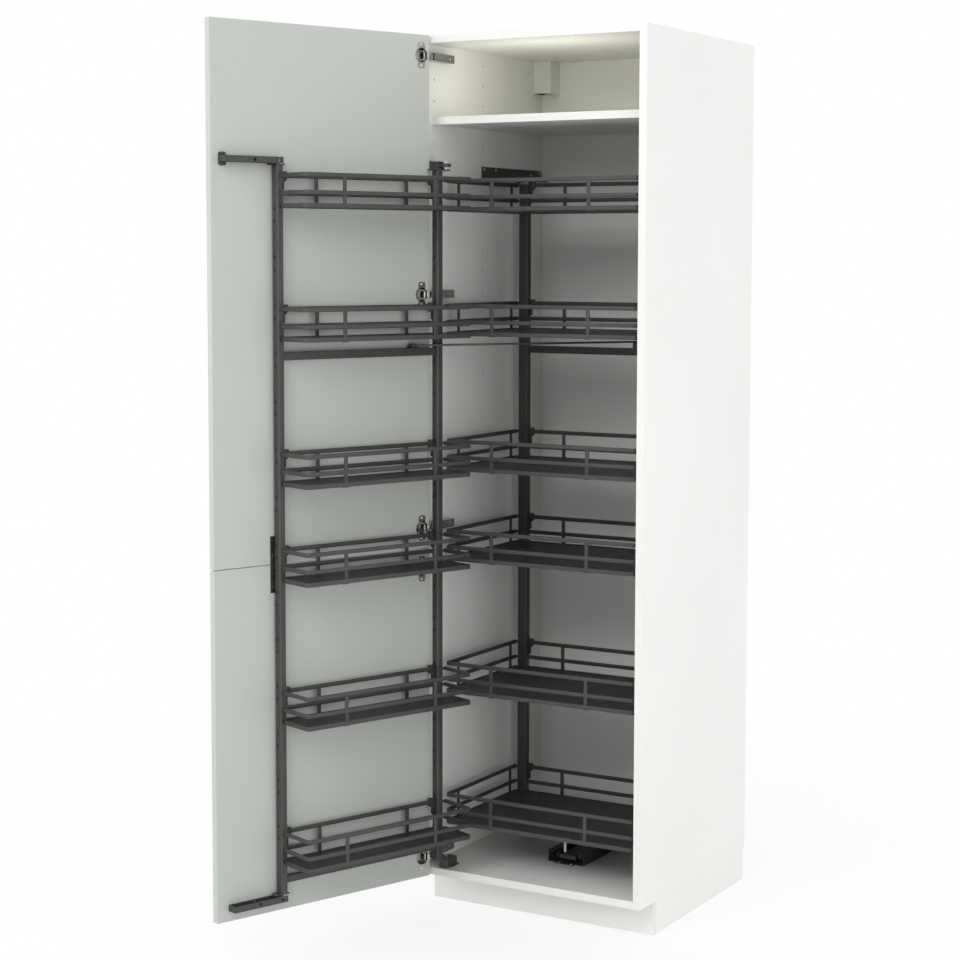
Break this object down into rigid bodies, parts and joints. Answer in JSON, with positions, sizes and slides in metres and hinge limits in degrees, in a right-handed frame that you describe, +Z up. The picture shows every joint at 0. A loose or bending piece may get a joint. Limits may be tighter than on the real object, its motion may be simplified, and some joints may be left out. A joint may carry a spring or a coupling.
{
  "type": "pull out larder unit",
  "caption": "Tall kitchen cabinet whose hinged two-part door carries a rack of trays and draws an inner rack of trays forwards through a rod.",
  "frame": {"origin": "on the floor, under the middle of the plinth's front board", "axes": "+Z up, +Y from the cabinet's front towards the wall, +X to the right seen from the front; stored with the door open"},
  "size_m": [0.783, 1.1709, 2.08],
  "materials": {
    "white_board": "matte",
    "door_board": "satin",
    "coated_steel": "matte",
    "tray_board": "matte",
    "dark_plastic": "matte",
    "white_plastic": "satin",
    "hinge_nickel": "polished",
    "screw_steel": "satin",
    "joining_brass": "satin"
  },
  "bodies": {
    "cabinet": {"side_panel_left": "white_board", "side_panel_right": "white_board", "top_panel": "white_board", "bottom_panel": "white_board", "upper_shelf": "white_board", "back_panel": "white_board", "plinth_front": "white_board", "plinth_sides": "white_board", "levelling_feet": "dark_plastic", "bracket_covers": "white_plastic", "hinge_arms": "hinge_nickel", "hinge_screws": "screw_steel", "top_guide_rail": "coated_steel", "floor_runner": "coated_steel", "rail_screws": "screw_steel", "bottom_pivot_bracket": "coated_steel", "top_pivot_bracket": "coated_steel", "pivot_pins": "screw_steel"},
    "hinge_links": {"hinge_links": "hinge_nickel"},
    "door": {"hinge_cups": "hinge_nickel", "hinge_cup_screws": "screw_steel", "door_lower": "door_board", "door_upper": "door_board", "door_joining_plate": "joining_brass", "door_screws": "screw_steel", "bottom_track": "coated_steel", "top_track": "coated_steel", "top_track_plate": "coated_steel"},
    "track_glides": {"track_glides": "dark_plastic"},
    "door_rack": {"rack_upright_outer": "coated_steel", "rack_upright_inner": "coated_steel", "rack_crossbars": "coated_steel", "rack_end_plates": "coated_steel", "rod_block": "dark_plastic", "door_basket_1": "coated_steel", "door_basket_2": "coated_steel", "door_basket_3": "coated_steel", "door_basket_4": "coated_steel", "door_basket_5": "coated_steel", "door_basket_6": "coated_steel", "door_tray_boards": "tray_board", "door_basket_clips": "dark_plastic"},
    "connecting_rod": {"connecting_rod": "coated_steel"},
    "inner_rack": {"inner_basket_1": "coated_steel", "inner_basket_2": "coated_steel", "inner_basket_3": "coated_steel", "inner_basket_4": "coated_steel", "inner_basket_5": "coated_steel", "inner_basket_6": "coated_steel", "inner_tray_boards": "tray_board", "inner_basket_clips": "dark_plastic", "inner_upright_left": "coated_steel", "inner_upright_right": "coated_steel", "inner_crossbars": "coated_steel", "inner_carriage": "coated_steel", "roller_bracket": "coated_steel", "carriage_peg": "white_plastic"},
    "front_wheels": {"front_wheels": "dark_plastic"},
    "rear_wheels": {"rear_wheels": "dark_plastic"},
    "guide_roller": {"guide_roller": "white_plastic"}
  },
  "joints": [
    {"name": "link_swing", "type": "hinge", "parent": "cabinet", "child": "hinge_links", "pos_m": [-0.264, -0.074, 1.081], "axis": [0, 0, 1], "range_deg": [-51, 0]},
    {"name": "door_swing", "type": "hinge", "parent": "hinge_links", "child": "door", "pos_m": [-0.26454, -0.10534, 1.081], "axis": [0, 0, 1], "range_deg": [0, 161.6]},
    {"name": "glide_slide", "type": "slide", "parent": "door", "child": "track_glides", "axis": [-0.3518, -0.9361, 0], "range_m": [0, 0.1076]},
    {"name": "rack_swing", "type": "hinge", "parent": "cabinet", "child": "door_rack", "pos_m": [-0.23, -0.066, 0.946], "axis": [0, 0, 1], "range_deg": [0, 109.57]},
    {"name": "rod_swing", "type": "hinge", "parent": "door_rack", "child": "connecting_rod", "pos_m": [-0.26437, -0.1569, 1.359], "axis": [0, 0, 1], "range_deg": [-95.02, 0]},
    {"name": "inner_slide", "type": "slide", "parent": "cabinet", "child": "inner_rack", "axis": [0, 1, 0], "range_m": [0, 0.1622]},
    {"name": "front_wheels_spin", "type": "hinge", "parent": "inner_rack", "child": "front_wheels", "pos_m": [0.008, 0.13, 0.112], "axis": [1, 0, 0], "range_deg": [-794.31, 0]},
    {"name": "rear_wheels_spin", "type": "hinge", "parent": "inner_rack", "child": "rear_wheels", "pos_m": [0.008, 0.309, 0.112], "axis": [1, 0, 0], "range_deg": [-794.31, 0]},
    {"name": "guide_roller_spin", "type": "hinge", "parent": "inner_rack", "child": "guide_roller", "pos_m": [-0.252, 0.322, 1.75825], "axis": [0, 0, 1], "range_deg": [0, 1161.67]}
  ],
  "couplings": [
    {"joint": "link_swing", "follows": "door_swing", "ratio": -0.31559},
    {"joint": "glide_slide", "follows": "door_swing", "m_per_rad": 0.038149},
    {"joint": "rack_swing", "follows": "door_swing", "ratio": 0.67801},
    {"joint": "rod_swing", "follows": "door_swing", "ratio": -0.588},
    {"joint": "inner_slide", "follows": "door_swing", "m_per_rad": 0.057508},
    {"joint": "front_wheels_spin", "follows": "door_swing", "ratio": -4.9153},
    {"joint": "rear_wheels_spin", "follows": "door_swing", "ratio": -4.9153},
    {"joint": "guide_roller_spin", "follows": "door_swing", "ratio": 7.1886}
  ]
}
